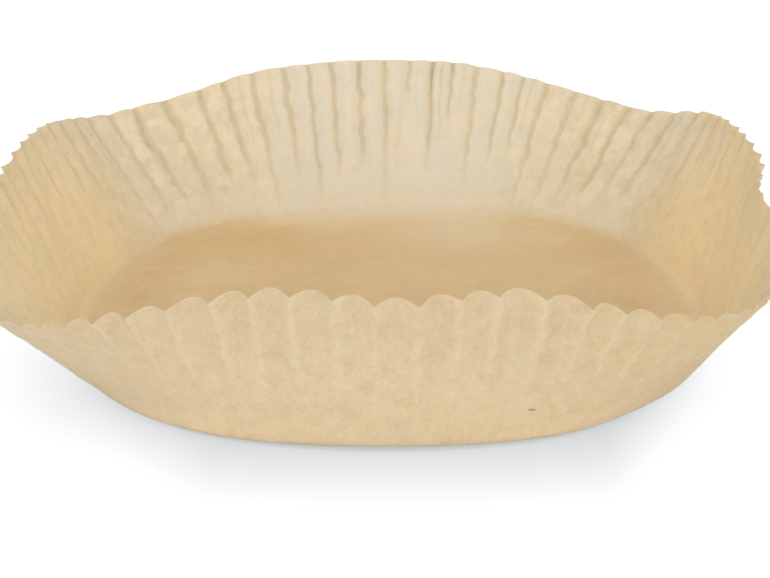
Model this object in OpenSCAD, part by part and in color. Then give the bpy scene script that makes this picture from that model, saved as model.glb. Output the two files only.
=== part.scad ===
// Fluted paper liner bowl: one round sheet of baking paper, pressed to a flat base and a
// flared wall. The wall keeps the whole length of the sheet, so what is spare round the
// rim is taken up by flutes, which are deepest where the wall stands most upright.
// The bowl stands on its base at z = 0, and its front faces -Y. All sizes are in mm.

/* [Base] */
// Diameter of the flat base, measured to the line where base and wall would meet
base_d = 160; // [120:1:200]
// How far the base is drawn out towards its four corners, and in at its four sides
base_square = 1.8; // [0:0.1:4]
// Radius of the bend between base and wall
base_round = 4; // [2:0.5:8]

/* [Wall] */
// Width of the wall, measured up its slope
wall_w = 43; // [28:1:60]
// Lean from upright along the front
front_lean_angle = 11; // [8:1:30]
// Lean from upright along the back
back_lean_angle = 17; // [8:1:30]
// Lean from upright along the left side
left_lean_angle = 23; // [8:1:30]
// Lean from upright along the right side
right_lean_angle = 19; // [8:1:30]
// Lean from upright at the back right corner, where the wall is pulled open
back_right_lean_angle = 52; // [32:1:56]
// Lean from upright at the back left corner
back_left_lean_angle = 50; // [32:1:56]
// Lean from upright at the front left corner
front_left_lean_angle = 48; // [32:1:56]
// Lean from upright at the front right corner
front_right_lean_angle = 41; // [32:1:56]
// Angle round the bowl over which a corner opens, to either side of its middle
corner_reach_angle = 22.5; // [15:0.5:26]
// Further lean at the middle of the front, where the wall sags outwards
front_sag_angle = 5; // [0:1:10]
// Lean that is missing just in front of the right side, where the wall is tucked in
right_tuck_angle = 9; // [0:1:10]
// Angle round the bowl over which the sag or the tuck fades, to either side of its middle
dent_reach_angle = 9; // [6:1:14]

/* [Flutes] */
// Number of flutes round the wall
flutes = 84; // [48:1:96]
// Width of the plain band above the base, where the sheet has no spare length yet
plain_band = 3; // [0:0.5:10]
// Angle by which the flutes at the sides are shifted towards the front
front_crowding_angle = 1.2; // [0:0.1:4]
// Angle by which the flutes are drawn from the middle of the front towards the back
back_crowding_angle = 3.1; // [0:0.1:4]
// Angle by which the flutes are drawn towards the four corners
corner_crowding_angle = 2.7; // [0:0.1:4]
// Share by which a flute's depth strays from its neighbours'
uneven_depth_share = 0.2; // [0:0.05:0.4]
// Angle by which a flute strays from even spacing
uneven_spacing_angle = 0.4; // [0:0.1:0.8]

/* [Paper] */
// Thickness of the sheet
paper_t = 0.08; // [0.05:0.01:0.3]

/* [Detail] */
// Points across each flute
flute_points = 5; // [4:1:8]
// Rows of faces up the wall
wall_rows = 4; // [2:1:8]
// Rows of faces round the bend
bend_rows = 2; // [1:1:4]

/* [Hidden] */
paper_colour = [0.87, 0.78, 0.62];

// Where the four corners and the two dents lie, as angles round the bowl from +X
corner_angles = [52, 131, 219, 317];
corner_lean_angles = [
    back_right_lean_angle, back_left_lean_angle, front_left_lean_angle, front_right_lean_angle
];
front_angle = 270;
tuck_angle = 345;

columns = flutes * flute_points;
rows = bend_rows + wall_rows;
// The first ridge stands a little past +X, which puts a hollow at the middle of the front
first_flute = 0.63;
// Two pairs of whole numbers of waves round the bowl, which make the flutes uneven
depth_waves = [23, 31];
spacing_waves = [19, 29];

// Angle from b to a, taken the short way round
function turn(a, b) = let (d = (a - b) % 360) d > 180 ? d - 360 : d < -180 ? d + 360 : d;

// Lean between the corners: front, back and both sides blended round the bowl
function plain_lean(a) =
    let (ends = (front_lean_angle + back_lean_angle) / 2 + (back_lean_angle - front_lean_angle) / 2 * sin(a))
    let (sides = (left_lean_angle + right_lean_angle) / 2 + (right_lean_angle - left_lean_angle) / 2 * cos(a))
    ends + (sides - ends) * pow(cos(a), 2);

// A smooth rise from 0 to 1 and back, as wide as reach to either side of its middle
function bump(a, middle, reach) = exp(-pow(turn(a, middle) / reach, 2));

// Lean of the wall from upright at angle a
function lean(a) =
    let (plain = plain_lean(a))
    let (opened = [
        for (i = [0:3]) (corner_lean_angles[i] - plain) * bump(a, corner_angles[i], corner_reach_angle)
    ])
    let (sag = front_sag_angle * bump(a, front_angle, dent_reach_angle))
    let (tuck = right_tuck_angle * bump(a, tuck_angle, dent_reach_angle))
    plain + opened[0] + opened[1] + opened[2] + opened[3] + sag - tuck;

// Radius at which base and wall would meet
function base_r(a) = base_d / 2 - base_square * cos(4 * a);

// Length of sheet that the bend takes from the base, and again from the wall
function bend_reach(a) = base_round * tan((90 - lean(a)) / 2);

// Angle round the bowl of flute number n, which need not be whole
function flute_angle(n) =
    let (a = 360 * (n + first_flute) / flutes)
    let (stray = (sin(spacing_waves[0] * a) + sin(spacing_waves[1] * a)) / 2)
    let (gathered = corner_crowding_angle * sin(4 * a) - back_crowding_angle * cos(3 * a))
    a + gathered - front_crowding_angle * cos(a) + uneven_spacing_angle * stray;

// Spare length of the flat sheet round the wall, as a share, at distance s up the wall
function spare(a, s) = (base_r(a) + s) / (base_r(a) + s * sin(lean(a))) - 1;

// Half the depth of a flute, which takes up the spare length of the sheet
function flute_depth(n, s) =
    let (a = flute_angle(n))
    let (pitch = 2 * PI * (base_r(a) + s * sin(lean(a))) / flutes)
    let (turns = 360 * n / flutes)
    let (stray = (sin(depth_waves[0] * turns) + sin(depth_waves[1] * turns)) / 2)
    let (grown = min(1, max(0, s - bend_reach(a)) / (plain_band + bend_reach(a))))
    pitch / PI * sqrt(max(0, spare(a, s))) * grown * (1 + uneven_depth_share * stray);

// One flute across its width: a sharp ridge outwards and a broad, round hollow inwards
function flute_wave(n) = 2 * (2 / PI - abs(sin(180 * n)));

// A point of the sheet at flute number n, on row k, moved out by half the thickness or in.
// The profile runs round the bend first and then straight up the leaning wall.
function sheet_point(n, k, half) =
    let (a = flute_angle(n))
    let (full_turn = 90 - lean(a))
    let (turned = full_turn * min(1, k / bend_rows))
    let (up = max(0, k - bend_rows) / wall_rows)
    let (s = bend_reach(a) + up * (wall_w - bend_reach(a)))
    let (out = half + (up > 0 ? flute_depth(n, s) * flute_wave(n) : 0))
    let (bend_point = [
        base_r(a) - bend_reach(a) + base_round * sin(turned),
        base_round * (1 - cos(turned))
    ])
    let (wall_point = [base_r(a) + s * sin(lean(a)), s * cos(lean(a))])
    let (middle = up > 0 ? wall_point : bend_point)
    let (r = middle[0] + out * sin(turned))
    [r * cos(a), r * sin(a), middle[1] - out * cos(turned) + paper_t / 2];

// All points of one side of the sheet, row by row from the base to the rim, and its centre
function side_points(half) = concat(
    [for (k = [0:rows]) for (j = [0:columns - 1]) sheet_point(j / flute_points, k, half)],
    [[0, 0, paper_t / 2 - half]]
);

// Number of a point, counted from the first point of its side
function at(k, j) = k * columns + j % columns;
side_count = (rows + 1) * columns + 1;

// Two triangles for each cell of a side's grid, and a fan over its base
function side_faces() = concat(
    [for (k = [0:rows - 1]) for (j = [0:columns - 1]) each [
        [at(k, j), at(k + 1, j), at(k + 1, j + 1)],
        [at(k, j), at(k + 1, j + 1), at(k, j + 1)]
    ]],
    [for (j = [0:columns - 1]) [side_count - 1, at(0, j), at(0, j + 1)]]
);

// Faces of the second side, which look the other way
function turned_faces(faces) = [for (f = faces) [f[2] + side_count, f[1] + side_count, f[0] + side_count]];

// The cut edge of the sheet, which joins its two sides round the rim
function rim_faces() = [for (j = [0:columns - 1]) each [
    [at(rows, j), at(rows, j) + side_count, at(rows, j + 1) + side_count],
    [at(rows, j), at(rows, j + 1) + side_count, at(rows, j + 1)]
]];

module paper_bowl() {
    outside = side_faces();
    color(paper_colour)
        polyhedron(
            points = concat(side_points(paper_t / 2), side_points(-paper_t / 2)),
            faces = concat(outside, turned_faces(outside), rim_faces())
        );
}

paper_bowl();
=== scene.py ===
import math

import bpy
import numpy as np
from mathutils import Matrix, Vector


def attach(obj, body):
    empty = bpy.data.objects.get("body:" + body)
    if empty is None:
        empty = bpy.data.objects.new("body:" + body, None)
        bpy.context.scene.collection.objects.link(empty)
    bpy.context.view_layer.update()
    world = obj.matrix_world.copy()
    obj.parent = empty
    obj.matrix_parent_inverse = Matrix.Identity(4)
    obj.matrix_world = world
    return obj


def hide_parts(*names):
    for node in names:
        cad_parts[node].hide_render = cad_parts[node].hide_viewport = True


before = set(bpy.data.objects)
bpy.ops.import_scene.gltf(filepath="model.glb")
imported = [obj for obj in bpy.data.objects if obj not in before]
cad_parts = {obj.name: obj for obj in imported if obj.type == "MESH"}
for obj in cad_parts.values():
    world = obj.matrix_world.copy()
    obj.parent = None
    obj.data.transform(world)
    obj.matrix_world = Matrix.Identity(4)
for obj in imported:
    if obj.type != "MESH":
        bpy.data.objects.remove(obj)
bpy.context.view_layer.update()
print("frame loaded:", ", ".join(sorted(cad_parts)))


# Bowl: the sheet's form is the CAD part's, in metres and degrees, with finer folds on it

bowl = {
    "baseWidth": 0.160,  # flat base, to the line where base and wall would meet
    "baseSquare": 0.0018,  # how far the base is drawn out to its four corners, and in at its sides
    "cornerTrim": 0.0015,  # how much further in the base's edge is at the front right
    "trimAngle": 314,  # all angles are counted round the bowl from +X
    "trimReach": 12,
    "bendRadius": 0.004,  # bend between base and wall
    "wallWidth": 0.043,  # up the slope
    "frontLean": 11,
    "backLean": 17,
    "leftLean": 23,
    "rightLean": 19,
    "cornerAngles": (52, 131, 219, 317),
    "cornerLeans": (52, 50, 45.5, 40.6),
    "cornerReach": 22.5,
    "frontAngle": 270,
    "frontSag": 5,
    "sagReach": 9,
    "tuckAngle": 345,
    "rightTuck": 7,
    "tuckReach": 12,
    "paperThickness": 0.00008,
    "baseSwell": 0.0005,  # how far the base lifts off the table where it is slack
    "baseSwellSpan": 0.028,
    "baseSwellFade": 0.020,  # it ends this far before the bend
    "liftAngle": 87,  # where base and wall ride up a little at the back
    "liftReach": (27, 17),  # it ends this far to either side, and fades over the second angle
    "lift": 0.0012,
    "liftInward": 0.026,
    "frontLift": 0.0005,  # and a little at the front, over this angle to either side
    "frontLiftReach": 16,
}

folds = {
    "flutes": 84,
    "firstFlute": 0.63,
    "frontCrowding": 1.2,  # angles by which the flutes are drawn to the front, the back and the corners
    "backCrowding": 3.1,
    "cornerCrowding": 2.7,
    "spacingWaves": (19, 29),
    "unevenSpacing": 0.4,
    "gathers": (  # where the flutes move on a little: from and to these angles, fading in and out, and how far
        (73, 131, 17, 8, -2.1),
        (36, 77, 12, 17, 2.2),
    ),
    "depthWaves": (23, 31),
    "unevenDepth": 0.2,
    "rimRound": 0.06,  # roundness of a ridge at the rim, where 0 is knife-sharp, and low on the wall
    "lowRound": 0.30,
    "front": {
        "foot": 0.45,  # share of the wall on which a flute has not begun yet
        "footStray": 0.15,
        "depth": 1.10,  # share of the full depth that it keeps
        "pinch": 1.0,  # 1 is a rounded wave, less is a narrower ridge
        "soften": 0,  # further roundness at the rim
        "scallop": 0.0007,  # how far the rim dips at a ridge
        "drop": 0,  # how much narrower the wall is
        "lump": 0.00008,  # height of a lump
    },
    "side": {"foot": 0.50, "footStray": 0.30, "depth": 0.85, "pinch": 0.8, "soften": 0,
             "scallop": -0.0005, "drop": 0.0008, "lump": 0.00010},
    "back": {"foot": 0.02, "footStray": 0.60, "depth": 0.80, "pinch": 0.55, "soften": 0,
             "scallop": 0.0001, "drop": 0.0005, "lump": 0.00010},
    "backCorner": {"foot": -0.10, "footStray": 0.05, "depth": 1.00, "pinch": 0.75, "soften": 0,
                   "scallop": -0.0003, "drop": 0.0005, "lump": 0.00038},
    "frontCorner": {"foot": 0.45, "footStray": 0.20, "depth": 0.58, "pinch": 1.0, "soften": 0.26,
                    "scallop": 0.0012, "drop": 0.0005, "lump": 0.00010},
    "backCorners": (54, 126),
    "frontCorners": (222, 317),
    "bounceCorners": (228, 312),  # where the outside is painted paler just above the bend, as painted light bounced up from the floor
    "bounceReach": 18,
    "depthStray": 0.25,  # share by which one flute is deeper than the next
    "fadeLength": 0.020,  # a flute grows to its full depth over this
    "depthLength": 0.009,  # and its depth changes a little over this
    "patchLength": 0.005,  # at the sides it comes and goes over this
    "wobble": 0.055,  # sideways wander of a ridge, in flutes
    "wobbleLength": 0.0026,
    "wobbleFade": 0.008,
    "crease": 0.00025,  # depth of a second, small crease along the middle of some hollows
    "creaseFoot": 0.45,  # share of the wall on which it has not begun yet
    "lumpLength": 0.0030,
    "lumpFade": 0.012,
    "sag": 0.0004,  # slow waves of the whole wall
    "sagLength": 0.018,
    "rimStray": 0.00035,
    "rimRises": (  # angle, reach and height
        (253, 5, 0.0007),
        (270, 6, -0.0004),
        (288, 7, 0.0014),
        (357, 8, -0.0004),
    ),
}

tints = {  # where the paper's colours change: the base's fades over this much
    "inward": (0.003, 0.010, 0.006),  # of the base, more at the lift and at the sides, where the wall's paler colour on the base's edge is painted reflection at the lift and painted light at the sides
    "upward": (0.004, 0.006, 0.004),  # of the wall
    # fade of the sides' warmer tone and painted light
    "sideWarmLitFade": (0.77, 0.18),
    # fade of the painted sheen on the inside of the back wall
    "rearSheenFade": (0.55, 0.25),
    # fade of the painted bounce light low on the outside
    "bounceFade": (0.004, 0.014),
    "cornerReach": 14,
}

detail = {
    "acrossFlute": (0, 0.035, 0.08, 0.14, 0.215, 0.305, 0.40, 0.5),  # from a ridge to the middle of a hollow
    "baseSpokes": 4,  # one column in so many goes on over the flat base
    "baseRows": 6,
    "bendRows": 4,
    "wallRows": 35,
    "sharpAngle": 75,
    "mapRadius": 0.285,  # of the two discs of the map
    "mapMiddles": (0.293, 0.707),
    "mapEdge": 1.02,  # width of the cut edge's ring, as a share of its disc
}


def bump(angle, middle, reach):
    # exp(-(turn / reach)^2), with turn the short way round from middle to angle
    turn = (angle - middle + 180) % 360 - 180
    return np.exp(-(turn / reach) ** 2)


def sinDeg(angle):
    return np.sin(np.radians(angle))


def cosDeg(angle):
    return np.cos(np.radians(angle))


def smooth(t):
    # 3t^2 - 2t^3, held at 0 below 0 and at 1 above 1
    t = np.clip(t, 0, 1)
    return t * t * (3 - 2 * t)


def latticeNoise(across, up, cells, seed):
    # Random numbers from -1 to 1 on a lattice, joined by 6t^5 - 15t^4 + 10t^3 both ways.
    # Across, the lattice closes on itself after so many cells. The seed gives the same numbers each run.
    values = np.random.default_rng(seed).uniform(-1, 1, (int(np.max(up)) + 2, cells))
    column, row = np.floor(across).astype(int), np.floor(up).astype(int)
    alongColumn, alongRow = across - column, up - row
    blendColumn = alongColumn ** 3 * (alongColumn * (alongColumn * 6 - 15) + 10)
    blendRow = alongRow ** 3 * (alongRow * (alongRow * 6 - 15) + 10)
    left, right = column % cells, (column + 1) % cells
    low = values[row, left] * (1 - blendColumn) + values[row, right] * blendColumn
    high = values[row + 1, left] * (1 - blendColumn) + values[row + 1, right] * blendColumn
    return low * (1 - blendRow) + high * blendRow


def leanAt(angle):
    # Lean from upright: front, back and sides blended by sin and cos^2, then opened at the corners
    ends = (bowl["frontLean"] + bowl["backLean"]) / 2
    ends = ends + (bowl["backLean"] - bowl["frontLean"]) / 2 * sinDeg(angle)
    sides = (bowl["leftLean"] + bowl["rightLean"]) / 2
    sides = sides + (bowl["rightLean"] - bowl["leftLean"]) / 2 * cosDeg(angle)
    plain = ends + (sides - ends) * cosDeg(angle) ** 2
    lean = plain
    for middle, corner in zip(bowl["cornerAngles"], bowl["cornerLeans"]):
        lean = lean + (corner - plain) * bump(angle, middle, bowl["cornerReach"])
    lean = lean + bowl["frontSag"] * bump(angle, bowl["frontAngle"], bowl["sagReach"])
    return lean - bowl["rightTuck"] * bump(angle, bowl["tuckAngle"], bowl["tuckReach"])


def fluteAngle(number):
    # Angle round the bowl of a flute: even steps, drawn to the corners and to the back by sines,
    # a little uneven, and moved on where flutes gather
    angle = 360 * (number + folds["firstFlute"]) / folds["flutes"]
    stray = sum(sinDeg(waves * angle) for waves in folds["spacingWaves"]) / 2
    crowding = folds["cornerCrowding"] * sinDeg(4 * angle) - folds["backCrowding"] * cosDeg(3 * angle)
    crowding = crowding - folds["frontCrowding"] * cosDeg(angle)
    angle = angle + crowding + folds["unevenSpacing"] * stray
    moves = (shift * smooth((angle - first) / fadeIn) * smooth((last - angle) / fadeOut)
             for first, last, fadeIn, fadeOut, shift in folds["gathers"])
    return angle + sum(moves)


def regionShares(angle):
    # How far a place belongs to the back, to the sides and to the corners, from 0 to 1
    back = smooth(0.5 + 1.2 * sinDeg(angle))
    side = smooth((np.abs(cosDeg(angle)) - 0.72) / 0.2)
    backCorner = sum(bump(angle, middle, 12) for middle in folds["backCorners"])
    frontCorner = sum(bump(angle, middle, 14) for middle in folds["frontCorners"])
    return {"back": back, "side": side, "backCorner": backCorner, "frontCorner": frontCorner}


def byRegion(name, angle):
    # One of the regions' values, blended round the bowl
    value = folds["front"][name]
    for region, share in regionShares(angle).items():
        value = value + (folds[region][name] - value) * share
    return value


def ridgeWander(number, up):
    # Sideways shift of each flute, in flutes: smooth noise along it, which begins above the base
    count = folds["flutes"]
    shift = latticeNoise(number, up / folds["wobbleLength"], count, 13)
    shift = shift + 0.5 * latticeNoise(number * 2, up / (0.45 * folds["wobbleLength"]), 2 * count, 14)
    return folds["wobble"] * shift * smooth(up / folds["wobbleFade"])


def fluteOffset(number, angle, radius, lean, height, reach):
    # Half depth = pitch / pi * sqrt(spare length of the flat sheet). Across a flute the wave is
    # 2 * (2 / pi - (sin^2 + round^2)^(pinch / 2)): a narrow ridge outwards and a broad hollow inwards.
    count = folds["flutes"]
    up = np.maximum(height, 0)
    share = up / bowl["wallWidth"]
    around = radius + up * sinDeg(lean)
    spare = (radius + up) / around - 1
    turns = 360 * number / count
    stray = sum(sinDeg(waves * turns) for waves in folds["depthWaves"]) / 2

    foot = byRegion("foot", angle) + byRegion("footStray", angle) * latticeNoise(number, 0 * up, count, 11)
    grown = smooth((height + 0.3 * reach - foot * bowl["wallWidth"]) / folds["fadeLength"])
    uneven = folds["depthStray"] * latticeNoise(number, up / folds["depthLength"], count, 12)
    uneven = 1 + folds["unevenDepth"] * stray + uneven
    depth = 2 * around / count * np.sqrt(spare) * grown * uneven * byRegion("depth", angle)
    depth = depth * (1 - 0.5 * bump(angle, bowl["tuckAngle"], bowl["tuckReach"]))
    corner, side = (regionShares(angle)[name] for name in ("backCorner", "side"))
    patchy = side * smooth(0.5 + 1.6 * latticeNoise(number + 0 * up, up / folds["patchLength"], count, 23))
    depth = depth * (1 - 0.5 * patchy * (1 - smooth(4 * share - 3)))

    rimRound = folds["rimRound"] + byRegion("soften", angle)
    rounding = folds["lowRound"] + (rimRound - folds["lowRound"]) * smooth(share) ** (1 + 3 * side)
    across = sinDeg(180 * number)
    wave = 2 * (2 / np.pi - (across ** 2 + rounding ** 2) ** (byRegion("pinch", angle) / 2))
    broken = latticeNoise(number * 2 + 0 * up, up / folds["wobbleLength"], 2 * count, 20)
    band = 1 - smooth((np.abs(across) - 0.19 - 0.06 * corner - 0.08 * broken) / 0.25)

    # What the paper's colours need: the bands along the ridges, which are painted shade in the grooves inside
    # and a painted highlight on the crests outside
    # Where the painted highlight along a ridge outside begins, and how it grows
    begun = 0.30 + 0.15 * latticeNoise(number, 0 * up, count, 22)
    crestHighlight = band * smooth((share - begun) / 0.25) * (1 - 0.5 * regionShares(angle)["frontCorner"])
    # Inside, the band is painted shade in the groove behind each ridge
    band = band * smooth(depth / 0.0006) * (0.7 + 0.3 * corner) * (1 - patchy)

    # On some flutes the paper also creases a little along the middle of the hollow
    some = smooth(3 * latticeNoise(np.floor(number + 0.002) + 0.5 + 0 * up, 0 * up, count, 21))
    crease = (1 - smooth((np.abs(cosDeg(180 * number)) - 0.06 - 0.06 * broken) / 0.18)) * some
    crease = crease * smooth((share - folds["creaseFoot"]) / 0.25) * smooth(0.5 + 1.2 * sinDeg(angle))
    # The painted shade in the grooves also takes the small creases
    return depth * wave + folds["crease"] * crease, np.maximum(band, 0.55 * crease), crestHighlight


def lumps(number, angle, up):
    # Small lumps along the flutes, and slow waves of the whole wall; also the share of a painted highlight on
    # the lumps
    count, length = folds["flutes"], folds["lumpLength"]
    small = latticeNoise(number * 2, up / length, 2 * count, 16)
    small = small + 0.6 * latticeNoise(number * 4, up / (0.6 * length), 4 * count, 17)
    slow = latticeNoise(number / 6, up / folds["sagLength"], count // 6, 18)
    grown = smooth(up / folds["lumpFade"])
    offset = (byRegion("lump", angle) * small + folds["sag"] * slow) * grown
    return offset, smooth(0.2 - 1.3 * small) * grown


def baseSwell(across, deep, height):
    # Smooth noise over the flat base, in table coordinates, which fades out before the bend
    span = bowl["baseSwellSpan"]
    swell = latticeNoise((across + 0.1) / span, (deep + 0.1) / span, 16, 19)
    return bowl["baseSwell"] * (swell + 1) / 2 * smooth(-height / bowl["baseSwellFade"])


def rimHeight(number):
    # How far the rim stands above an even one: noise, a dip at each ridge, and a few broad rises
    angle = fluteAngle(number)
    height = folds["rimStray"] * latticeNoise(number / 2, 0 * number, folds["flutes"] // 2, 15)
    height = height - byRegion("scallop", angle) * (1 - np.abs(sinDeg(180 * number))) ** 2
    height = height - byRegion("drop", angle)
    return height + sum(rise * bump(angle, middle, span) for middle, span, rise in folds["rimRises"])


def sheetPoints(number, rows):
    # The middle of the sheet at these flute numbers: flat base, then an arc round the bend,
    # then straight up the leaning wall, plus the folds along its normal. A row holds its shares
    # of base, bend and wall. Height is the distance along the sheet from where base and wall would meet.
    base, bend, wall = (rows[:, k, None] for k in range(3))
    shift = ridgeWander(number + 0 * wall, wall * bowl["wallWidth"])
    angle = fluteAngle(number + shift)
    lean = leanAt(angle)
    radius = bowl["baseWidth"] / 2 - bowl["baseSquare"] * cosDeg(4 * angle)
    radius = radius - bowl["cornerTrim"] * bump(angle, bowl["trimAngle"], bowl["trimReach"])
    reach = bowl["bendRadius"] * np.tan(np.radians((90 - lean) / 2))
    turned = bend * (90 - lean)
    height = (base - 1) * (radius - reach) - reach + 2 * bend * reach
    height = height + wall * (bowl["wallWidth"] + rimHeight(number) - reach)
    up = np.maximum(height, 0)

    along = base * (radius - reach) + bowl["bendRadius"] * sinDeg(turned)
    level = bowl["bendRadius"] * (1 - cosDeg(turned))
    straight = np.where(wall > 0, height - reach, 0)
    along, level = along + straight * sinDeg(lean), level + straight * cosDeg(lean)

    offset, ridge, crestHighlight = fluteOffset(number, angle, radius, lean, height, reach)
    lump, lumpHighlight = lumps(number + 0 * wall, angle, up)
    offset = offset + lump
    liftEnd, liftFade = bowl["liftReach"]
    liftShare = smooth((liftEnd - np.abs(angle - bowl["liftAngle"])) / liftFade)
    frontShare = bump(angle, bowl["frontAngle"], bowl["frontLiftReach"])
    lift = bowl["lift"] * liftShare + bowl["frontLift"] * frontShare
    lift = lift * smooth(1 + height / bowl["liftInward"]) * (1 - up / bowl["wallWidth"])
    level = level + lift + baseSwell(along * cosDeg(angle), along * sinDeg(angle), height)
    along, level = along + offset * sinDeg(turned), level - offset * cosDeg(turned)
    level = level + bowl["paperThickness"] / 2

    # Shares for the paper's colours: side places, corners, and how far the base's colour, painted shade,
    # reaches; also where painted sheen, painted highlights and painted bounce light go
    side = regionShares(angle)["side"]
    cornerWide = sum(bump(angle, middle, tints["cornerReach"]) for middle in folds["backCorners"])
    inward, upward = (plain + lifted * liftShare + sideways * side
                      for plain, lifted, sideways in (tints["inward"], tints["upward"]))
    sideFrom, sideOver = tints["sideWarmLitFade"]
    rearSheenFrom, rearSheenOver = tints["rearSheenFade"]
    bounceBelow, bounceAbove = tints["bounceFade"]
    low = sum(bump(angle, middle, folds["bounceReach"]) for middle in folds["bounceCorners"])
    upperHalf = smooth(up / bowl["wallWidth"] * 2 - 1)
    return {
        "points": np.stack([along * cosDeg(angle), along * sinDeg(angle), level], axis=-1),
        "flatLength": height + radius,  # distance from the centre, measured along the sheet
        "angle": angle,
        # painted shade in the grooves
        "ridge": ridge,
        "crestHighlight": crestHighlight,
        "pressed": 1 - smooth((height + inward) / (inward + upward)),
        # painted sheen on the inside of the back wall
        "rearSheen": smooth((sinDeg(angle) - rearSheenFrom) / rearSheenOver) * (1 - 0.7 * cornerWide) + 0 * height,
        # painted reflection on the raised back of the base
        "raisedSheen": liftShare * bump(height, -0.002, 0.012),
        # painted light bounced up from the floor, low on the outside
        "low": low * smooth(1 + height / bounceBelow) * (1 - smooth(up / bounceAbove)),
        # a warmer tone at the sides, with painted light strongest on the lower walls
        "side": smooth((np.abs(cosDeg(angle)) - sideFrom) / sideOver) * (1 - 0.6 * upperHalf),
        # painted highlight on the lumps, most at the back corners
        "lump": lumpHighlight * (0.3 + 0.7 * cornerWide),
    }


def sheetNormals(points, centre):
    # Cross product of the steps round and up the sheet, which points out of the bowl
    padded = np.concatenate([centre, points])
    upStep = np.gradient(padded, axis=0)[1:]
    roundStep = np.roll(points, -1, axis=1) - np.roll(points, 1, axis=1)
    normals = np.cross(roundStep, upStep)
    return normals / np.linalg.norm(normals, axis=-1, keepdims=True)


def makePaperBowl():
    # One closed sheet: the grid of points moved out and in by half the thickness, joined along the rim
    steps = np.array(detail["acrossFlute"])
    steps = np.concatenate([-steps[-2:0:-1], steps])
    number = (np.arange(folds["flutes"])[:, None] + steps).ravel()
    baseShares = np.linspace(0, 1, detail["baseRows"] + 1)[1:] ** 0.8
    bendShares = np.linspace(0, 1, detail["bendRows"] + 1)[1:]
    wallShares = np.linspace(0, 1, detail["wallRows"] + 1)[1:]
    rows = np.array([(share, 0, 0) for share in baseShares] + [(1, share, 0) for share in bendShares]
                    + [(1, 1, share) for share in wallShares])
    sheet = sheetPoints(number, rows)
    points = sheet["points"]
    rowCount, columns = points.shape[:2]
    half = bowl["paperThickness"] / 2
    middle = np.broadcast_to([0, 0, points[0, :, 2].mean()], points[:1].shape)
    normals = sheetNormals(points, middle)

    # Only every fourth column goes on over the base, inside its edge row, where the others would crowd
    spokes, edgeRow = detail["baseSpokes"], detail["baseRows"] - 1
    kept = np.ones((rowCount, columns), bool)
    kept[:edgeRow] = np.arange(columns) % spokes == 0
    index = np.full(kept.shape, -1)
    index[kept] = np.arange(kept.sum())
    sideCount = kept.sum() + 1
    outside = np.concatenate([(points + half * normals)[kept], [middle[0, 0] - [0, 0, half]]])
    inside = np.concatenate([(points - half * normals)[kept], [middle[0, 0] + [0, 0, half]]])

    def grid(cells):
        after = np.roll(cells, -1, axis=1)
        return np.stack([cells[:-1], after[:-1], after[1:], cells[1:]], axis=-1).reshape(-1, 4)

    coarse = index[:edgeRow, ::spokes]
    quads = np.concatenate([grid(coarse), grid(index[edgeRow:])])
    innerRing, edge = coarse[-1], index[edgeRow].reshape(-1, spokes)
    nextEdge = np.roll(index[edgeRow], -1).reshape(-1, spokes)
    split = spokes // 2
    hub = np.repeat(innerRing[:, None], spokes, axis=1)
    hub[:, split:] = np.roll(innerRing, -1)[:, None]
    ring = np.stack([hub, nextEdge, edge], axis=-1).reshape(-1, 3)
    wedge = np.stack([innerRing, np.roll(innerRing, -1), edge[:, split]], axis=-1)
    fan = np.stack([np.full(len(coarse[0]), sideCount - 1), np.roll(coarse[0], -1), coarse[0]], axis=-1)
    triangles = np.concatenate([ring, wedge, fan])
    rimEdge = index[-1]
    nextRim = np.roll(rimEdge, -1)
    rim = np.stack([rimEdge, nextRim, nextRim + sideCount, rimEdge + sideCount], axis=-1)
    quadFaces = np.concatenate([quads, quads[:, ::-1] + sideCount, rim])
    triangleFaces = np.concatenate([triangles, triangles[:, ::-1] + sideCount])

    mesh = bpy.data.meshes.new("paperBowl")
    faces = quadFaces.tolist() + triangleFaces.tolist()
    mesh.from_pydata(np.concatenate([outside, inside]).tolist(), [], faces)
    mesh.polygons.foreach_set("use_smooth", np.ones(len(mesh.polygons), bool))
    mesh.set_sharp_from_angle(angle=math.radians(detail["sharpAngle"]))

    # The shares that the material reads, for the outside's points and then the inside's
    none = np.zeros(sideCount)
    painted = {"inside": (none, none + 1)}
    outsideShares = {"ridge": 0, "crestHighlight": 1, "low": 1, "side": 0.6,
                     "lump": 0, "pressed": 0, "rearSheen": 0, "raisedSheen": 0}
    for name, outsideShare in outsideShares.items():
        shares = np.append(sheet[name][kept], 1 if name == "pressed" else 0)
        painted[name] = (outsideShare * shares, shares)
    for name, sides in painted.items():
        attribute = mesh.attributes.new(name, "FLOAT", "POINT")
        attribute.data.foreach_set("value", np.concatenate(sides).astype(np.float32))

    # The map for baked pictures: the flat sheet's two sides as two discs,
    # and the cut edge as a ring round the second
    length = np.append(sheet["flatLength"][kept], 0)
    length = length / length.max() * detail["mapRadius"]
    turn = np.radians(np.append(sheet["angle"][kept], 0))
    disc = np.stack([length * np.cos(turn), length * np.sin(turn)], axis=-1)
    firstMiddle, secondMiddle = detail["mapMiddles"]
    first, second = disc + firstMiddle, disc * [-1, 1] + secondMiddle
    outerRing = (second - secondMiddle) * detail["mapEdge"] + secondMiddle
    places = [first[quads], second[quads[:, ::-1]],
              np.stack([outerRing[rimEdge], outerRing[nextRim], second[nextRim], second[rimEdge]], axis=1),
              first[triangles], second[triangles[:, ::-1]]]
    places = np.concatenate([part.reshape(-1, 2) for part in places])
    layer = mesh.uv_layers.new(name="OFBake")
    layer.uv.foreach_set("vector", places.astype(np.float32).ravel())

    piece = bpy.data.objects.new("paperBowl", mesh)
    bpy.context.scene.collection.objects.link(piece)
    triangleCount = len(quadFaces) * 2 + len(triangleFaces)
    print("paper bowl:", len(mesh.vertices), "points,", triangleCount, "triangles")
    return piece


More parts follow.
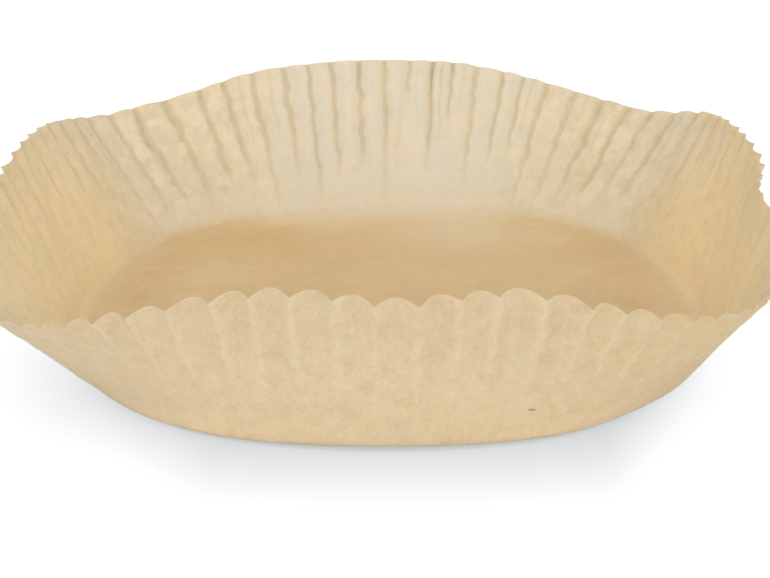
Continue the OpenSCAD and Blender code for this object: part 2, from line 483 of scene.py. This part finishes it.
# Shader maths: a Wire is an output socket, and + - * and ** on wires and numbers add Math nodes

class Wire:
    def __init__(self, board, socket):
        self.board, self.socket = board, socket

    def maths(self, operation, first, second):
        return self.board.node("Math", {"operation": operation}, {0: first, 1: second})

    def __add__(self, other):
        return self.maths("ADD", self, other)

    def __radd__(self, other):
        return self.maths("ADD", other, self)

    def __sub__(self, other):
        return self.maths("SUBTRACT", self, other)

    def __rsub__(self, other):
        return self.maths("SUBTRACT", other, self)

    def __mul__(self, other):
        return self.maths("MULTIPLY", self, other)

    def __rmul__(self, other):
        return self.maths("MULTIPLY", other, self)

    def __pow__(self, other):
        return self.maths("POWER", self, other)


class Board:
    def __init__(self, tree):
        self.tree = tree
        tree.nodes.clear()

    def node(self, kind, settings=None, inputs=None, output=0):
        # Adds a node of this type, with its settings first and then its sockets, and gives one output
        made = self.tree.nodes.new("ShaderNode" + kind)
        for name, value in (settings or {}).items():
            setattr(made, name, value)
        for key, value in (inputs or {}).items():
            socket = made.inputs[key]
            if isinstance(value, Wire):
                self.tree.links.new(value.socket, socket)
            else:
                socket.default_value = value
        return Wire(self, made.outputs[output]) if len(made.outputs) else made

    def mix(self, factor, first, second):
        # Colour mix: first where the factor is 0, second where it is 1
        settings = {"data_type": "RGBA", "clamp_factor": True}
        return self.node("Mix", settings, {"Factor": factor, 6: first, 7: second}, 2)

    def vector(self, operation, first, second, output=0):
        return self.node("VectorMath", {"operation": operation}, {0: first, 1: second}, output)

    def distance(self, first, second):
        apart = self.vector("SUBTRACT", first, second)
        return self.vector("LENGTH", apart, (0, 0, 0), "Value")

    def fromMap(self, value, low, high):
        # A smooth step from 0 at low to 1 at high, where low may be the greater
        sockets = {"Value": value, "From Min": low, "From Max": high}
        return self.node("MapRange", {"interpolation_type": "SMOOTHSTEP"}, sockets)


def colour(red, green, blue):
    # A colour written as 0 to 255 on the screen, turned into the linear light a shader counts in
    shown = np.array([red, green, blue]) / 255
    linear = np.where(shown <= 0.04045, shown / 12.92, ((shown + 0.055) / 1.055) ** 2.4)
    return (*linear.tolist(), 1.0)


paper = {
    "wallColour": colour(226, 206, 170),
    "insideColour": colour(220, 201, 163),
    # painted sheen: the inside of the back wall paler and greyer
    "rearSheenColour": colour(225, 218, 200),
    # a warmer tone at the sides, with painted light brightening their lower walls
    "sideWarmLitColour": colour(247, 223, 172),
    "sideWarmLitShare": 0.95,
    "warmColour": colour(227, 203, 156),  # of the outside towards the right
    "warmReach": (0.030, 0.070),
    # painted light bounced up from the floor, low on the outside at the front corners
    "bounceLightColour": colour(243, 222, 184),
    # the base's tan, painted darker and warmer as shade for light bounced within the bowl
    "baseShadedColour": colour(217, 183, 126),
    "baseWarm": colour(209, 173, 114),
    "basePale": colour(225, 195, 144),
    "baseScale": 34,
    "baseMiddle": (0.005, 0.035, 0),  # round here the base is paler
    "middleReach": (0.065, 0.010),
    "middleShare": 0.5,
    # painted reflection of the back wall on the raised back of the base
    "backSheenColour": colour(231, 210, 176),
    "backSheenShare": 0.75,
    "sheenSpots": (
        ((0.0212, 0.0590, 0), (0.020, 0.017, 0.02), 0.60),  # painted reflection near the back of the base: place on the base, size and share
        ((-0.0307, 0.0725, 0), (0.013, 0.008, 0.02), 0.70),
    ),
    # painted shade in the grooves
    "grooveShadeColour": colour(205, 188, 150),
    "grooveShadeShare": 0.82,
    # painted highlight on the lumps
    "lumpHighlightColour": colour(237, 221, 190),
    "lumpHighlightShare": 0.58,
    # painted sheen in patches on the inside of the back wall
    "sheenPatchShare": 0.30,
    # painted highlight along the ridges outside
    "crestHighlightColour": colour(238, 218, 185),
    "crestHighlightShare": 0.38,
    "greenPatch": colour(219, 206, 166),
    "pinkPatch": colour(228, 204, 172),
    "patchScale": 110,  # patches in each metre
    "patchSteps": ((0.50, 0.36), (0.50, 0.64)),  # the pattern's steps down and up
    "patchShare": 0.34,
    "cloudPale": colour(236, 220, 190),
    "cloudDark": colour(212, 187, 142),
    "cloudScale": 300,
    "cloudSteps": ((0.50, 0.30), (0.50, 0.70)),
    "cloudShare": 0.36,
    "feltScale": 1100,
    "feltSteps": ((0.50, 0.32), (0.52, 0.70)),
    "feltShare": 0.34,
    "roughness": 0.38,
    "roughnessStray": 0.3,
    "throughScale": 0.00002,  # how far light goes on through the paper
    "grain": 0.00004,
    "flecks": (  # place, size and colour
        ((0.03066, -0.07790, 0.01000), (0.0010, 0.002, 0.00030), colour(174, 142, 100)),
        ((0.00920, 0.09180, 0.02900), (0.00040, 0.003, 0.0010), colour(208, 180, 142)),
    ),
}


def paperMaterial():
    material = bpy.data.materials.new("bakingPaper")
    material.use_nodes = True
    board = Board(material.node_tree)
    place = board.node("TexCoord", output="Object")
    names = ("inside", "ridge", "crestHighlight", "low", "lump", "pressed", "rearSheen", "side", "raisedSheen")
    inside, ridge, crestHighlight, low, lump, pressed, rearSheen, side, raisedSheen = (
        board.node("Attribute", {"attribute_name": name}, output="Fac") for name in names)

    def noise(scale, levels, rough, drift=0.0):
        moved = board.vector("ADD", place, (drift, drift * 2, drift * 3))
        sockets = {"Vector": moved, "Scale": scale, "Detail": levels, "Roughness": rough}
        return board.node("TexNoise", {}, sockets)

    def mottle(shade, pattern, kind, share, dark, pale):
        # Towards the dark colour where the pattern is low, and towards the pale one where it is high
        down, up = paper[kind + "Steps"]
        share = share * paper[kind + "Share"]
        shade = board.mix(board.fromMap(pattern, *down) * share, shade, paper[dark])
        return board.mix(board.fromMap(pattern, *up) * share, shade, paper[pale])

    def fleck(middle, size, outer=1.2, inner=0.6):
        # 1 inside a small ellipsoid round this place on the sheet, else 0
        away = board.vector("DIVIDE", board.vector("SUBTRACT", place, middle), size)
        return board.fromMap(board.vector("LENGTH", away, (0, 0, 0), "Value"), outer, inner)

    patches = noise(paper["patchScale"], 2, 0.5)
    clouds = noise(paper["cloudScale"], 3, 0.6, 0.3)
    felt = noise(paper["feltScale"], 3, 0.7, 0.7)

    shade = board.mix(inside, paper["wallColour"], paper["insideColour"])
    # Painted sheen: the inside of the back wall paler and greyer
    shade = board.mix(rearSheen, shade, paper["rearSheenColour"])
    # A warmer tone at the sides, and painted light that brightens the lower side walls against their shade
    shade = board.mix(side * paper["sideWarmLitShare"], shade, paper["sideWarmLitColour"])
    across = board.node("SeparateXYZ", {}, {"Vector": place}, output="X")
    shade = board.mix((1 - inside) * board.fromMap(across, *paper["warmReach"]), shade, paper["warmColour"])
    # Painted light: the outside paler just above the bend at the front corners, for light bounced up from the
    # floor
    shade = board.mix((1 - inside) * low, shade, paper["bounceLightColour"])
    shade = mottle(shade, patches, "patch", 1 - 0.7 * rearSheen, "greenPatch", "pinkPatch")

    # The base's tan is painted shade, darker and warmer for light bounced within the bowl; its blotches are
    # the paper's own uneven tone
    blotches = noise(paper["baseScale"], 4, 0.55, 0.5)
    base = board.mix(board.fromMap(blotches, 0.52, 0.36), paper["baseShadedColour"], paper["baseWarm"])
    base = board.mix(board.fromMap(blotches, 0.52, 0.68), base, paper["basePale"])
    central = board.fromMap(board.distance(place, paper["baseMiddle"]), *paper["middleReach"])
    base = board.mix(central * paper["middleShare"], base, paper["basePale"])
    # Painted reflection: paler spots and a paler raised strip at the back of the base
    for middle, size, share in paper["sheenSpots"]:
        base = board.mix(fleck(middle, size, 1.5, 0.1) * share, base, paper["backSheenColour"])
    shade = board.mix(pressed, shade, board.mix(raisedSheen * paper["backSheenShare"], base, paper["backSheenColour"]))

    wall = 1 - pressed
    # Painted highlight on the lumps of the wall, most at the back corners
    shade = board.mix(lump * wall * paper["lumpHighlightShare"], shade, paper["lumpHighlightColour"])
    # Painted shade in the grooves inside, along the ridges and the small creases
    shade = board.mix(ridge * paper["grooveShadeShare"] * (1 - 0.7 * side), shade, paper["grooveShadeColour"])
    # Painted highlight: lighter lines along the ridges outside
    shade = board.mix((1 - inside) * crestHighlight * paper["crestHighlightShare"], shade, paper["crestHighlightColour"])
    # Painted sheen: pale patches on the inside of the back wall
    glow = board.fromMap(patches, 0.50, 0.62) * rearSheen * wall
    shade = board.mix(glow * paper["sheenPatchShare"], shade, paper["lumpHighlightColour"])
    plain = 1 - 0.5 * pressed - (0.6 * rearSheen + 0.35 * side) * wall
    shade = mottle(shade, clouds, "cloud", plain, "cloudDark", "cloudPale")
    shade = mottle(shade, felt, "felt", plain, "cloudDark", "cloudPale")
    for middle, size, dark in paper["flecks"]:
        shade = board.mix(fleck(middle, size), shade, dark)

    roughness = paper["roughness"] + (clouds - 0.5) * paper["roughnessStray"]
    bumps = board.node("Bump", {}, {"Strength": 0.7, "Distance": paper["grain"], "Height": felt})
    shader = board.node("BsdfPrincipled", {"subsurface_method": "RANDOM_WALK"}, {
        "Base Color": shade,
        "Roughness": roughness,
        "Normal": bumps,
        "IOR": 1.5,
        "Subsurface Weight": 1.0,
        "Subsurface Radius": (1.0, 0.75, 0.5),
        "Subsurface Scale": paper["throughScale"],
    })
    board.node("OutputMaterial", {}, {"Surface": shader})
    return material


piece = makePaperBowl()
piece.data.materials.append(paperMaterial())
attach(piece, "root")
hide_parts("paper_bowl")
print("material done")


# Room: a pale floor, a soft sky and four broad soft lamps

room = {
    "floorSize": 8.0,
    "floorGap": 0.0001,  # the floor lies this far under the base
    "floorColour": (0.86, 0.86, 0.86, 1.0),
    "floorShown": (0.98, 1.0, 1.02, 1.0),
    "litShare": 0.10,  # how much of the shown white comes from the lamps' light on it
    "nearShare": 0.54,  # and how much goes where the bowl stands close over the floor
    "restShare": 0.46,
    "nearReach": 0.035,
    "leftReach": (-0.035, -0.070),  # to the left and to the right this near shadow grows steeper
    "leftSteep": 1.7,
    "rightReach": (0.045, 0.073),
    "rightSteep": 2.7,
    "skyLight": 0.60,
    "skyShown": 1.0,
}

lamps = {  # in degrees, and what each adds to a white face
    "frontLamp": {"turn": 0, "rise": 13, "width": 30, "light": 0.23},
    "topLamp": {"turn": 0, "rise": 55, "width": 50, "light": 0.10},
    "leftLamp": {"turn": -70, "rise": 35, "width": 60, "light": 0.14},
    "rightLamp": {"turn": 70, "rise": 35, "width": 60, "light": 0.14},
}


def makeFloor():
    # Seen by the camera, the floor glows pale, less where it lies near under the bowl:
    # shown = rest + near * (1 - (1 - open)^steep), with open its share of free sky
    half = room["floorSize"] / 2
    corners = [(-half, -half), (half, -half), (half, half), (-half, half)]
    mesh = bpy.data.meshes.new("floor")
    mesh.from_pydata([(x, y, -room["floorGap"]) for x, y in corners], [], [(0, 1, 2, 3)])
    floor = bpy.data.objects.new("floor", mesh)
    bpy.context.scene.collection.objects.link(floor)
    material = bpy.data.materials.new("floor")
    material.use_nodes = True
    board = Board(material.node_tree)
    seen = board.node("LightPath", output="Is Camera Ray")
    lit = tuple(part * room["litShare"] for part in room["floorShown"][:3]) + (1.0,)
    matt = board.node("BsdfDiffuse", {}, {"Color": board.mix(seen, room["floorColour"], lit)})
    near = board.node("AmbientOcclusion", {"samples": 16}, {"Distance": room["nearReach"]}, output="AO")
    across = board.node("SeparateXYZ", {}, {"Vector": board.node("TexCoord", output="Object")}, output="X")
    steep = 1 + room["leftSteep"] * board.fromMap(across, *room["leftReach"])
    steep = steep + room["rightSteep"] * board.fromMap(across, *room["rightReach"])
    white = seen * (room["restShare"] + room["nearShare"] * (1 - (1 - near) ** steep))
    glow = board.node("Emission", {}, {"Color": board.mix(white, (0, 0, 0, 1), room["floorShown"])})
    board.node("OutputMaterial", {}, {"Surface": board.node("AddShader", {}, {0: matt, 1: glow})})
    mesh.materials.append(material)


def makeSky():
    # The sky lights the object at its own level, and shows white to the camera and in gloss
    world = bpy.data.worlds.new("sky")
    bpy.context.scene.world = world
    world.use_nodes = True
    board = Board(world.node_tree)
    camera, glossy, through = (board.node("LightPath", output=name)
                               for name in ("Is Camera Ray", "Is Glossy Ray", "Is Transmission Ray"))
    shown = board.node("Math", {"operation": "ADD", "use_clamp": True}, {0: camera + glossy, 1: through})
    strength = room["skyLight"] + shown * (room["skyShown"] - room["skyLight"])
    sky = board.node("Background", {}, {"Strength": strength, "Color": (1, 1, 1, 1)})
    board.node("OutputWorld", {}, {"Surface": sky})


def makeLamp(name, lamp):
    # A broad, distant lamp. A lamp of strength light * pi adds light to a white face that looks at it.
    turn, rise = math.radians(lamp["turn"]), math.radians(lamp["rise"])
    away = Vector((math.sin(turn) * math.cos(rise), -math.cos(turn) * math.cos(rise), math.sin(rise)))
    data = bpy.data.lights.new(name, "SUN")
    data.angle = math.radians(lamp["width"])
    data.energy = lamp["light"] * math.pi
    made = bpy.data.objects.new(name, data)
    bpy.context.scene.collection.objects.link(made)
    made.location = away
    made.rotation_mode = "QUATERNION"
    made.rotation_quaternion = away.to_track_quat("Z", "Y")


makeFloor()
makeSky()
for name, lamp in lamps.items():
    makeLamp(name, lamp)
print("room done")


# Camera: fitted to the outline, the front rim and the crease round the base

eye = {
    "place": (-0.0011854, -0.4893589, 0.2064066),
    "down": 22.18,  # degrees below the horizon
    "roll": -0.227,
    "lens": 97.93,
    "sensor": 36.0,
}


def makeCamera():
    data = bpy.data.cameras.new("camera")
    data.lens, data.sensor_width = eye["lens"], eye["sensor"]
    data.clip_start, data.clip_end = 0.01, 20.0
    camera = bpy.data.objects.new("camera", data)
    bpy.context.scene.collection.objects.link(camera)
    tilt = Matrix.Rotation(math.radians(90 - eye["down"]), 4, "X")
    roll = Matrix.Rotation(math.radians(eye["roll"]), 4, "Z")
    camera.matrix_world = Matrix.Translation(eye["place"]) @ (tilt @ roll)
    bpy.context.scene.camera = camera


makeCamera()
bpy.context.scene.view_settings.view_transform = "Standard"
print("camera done")
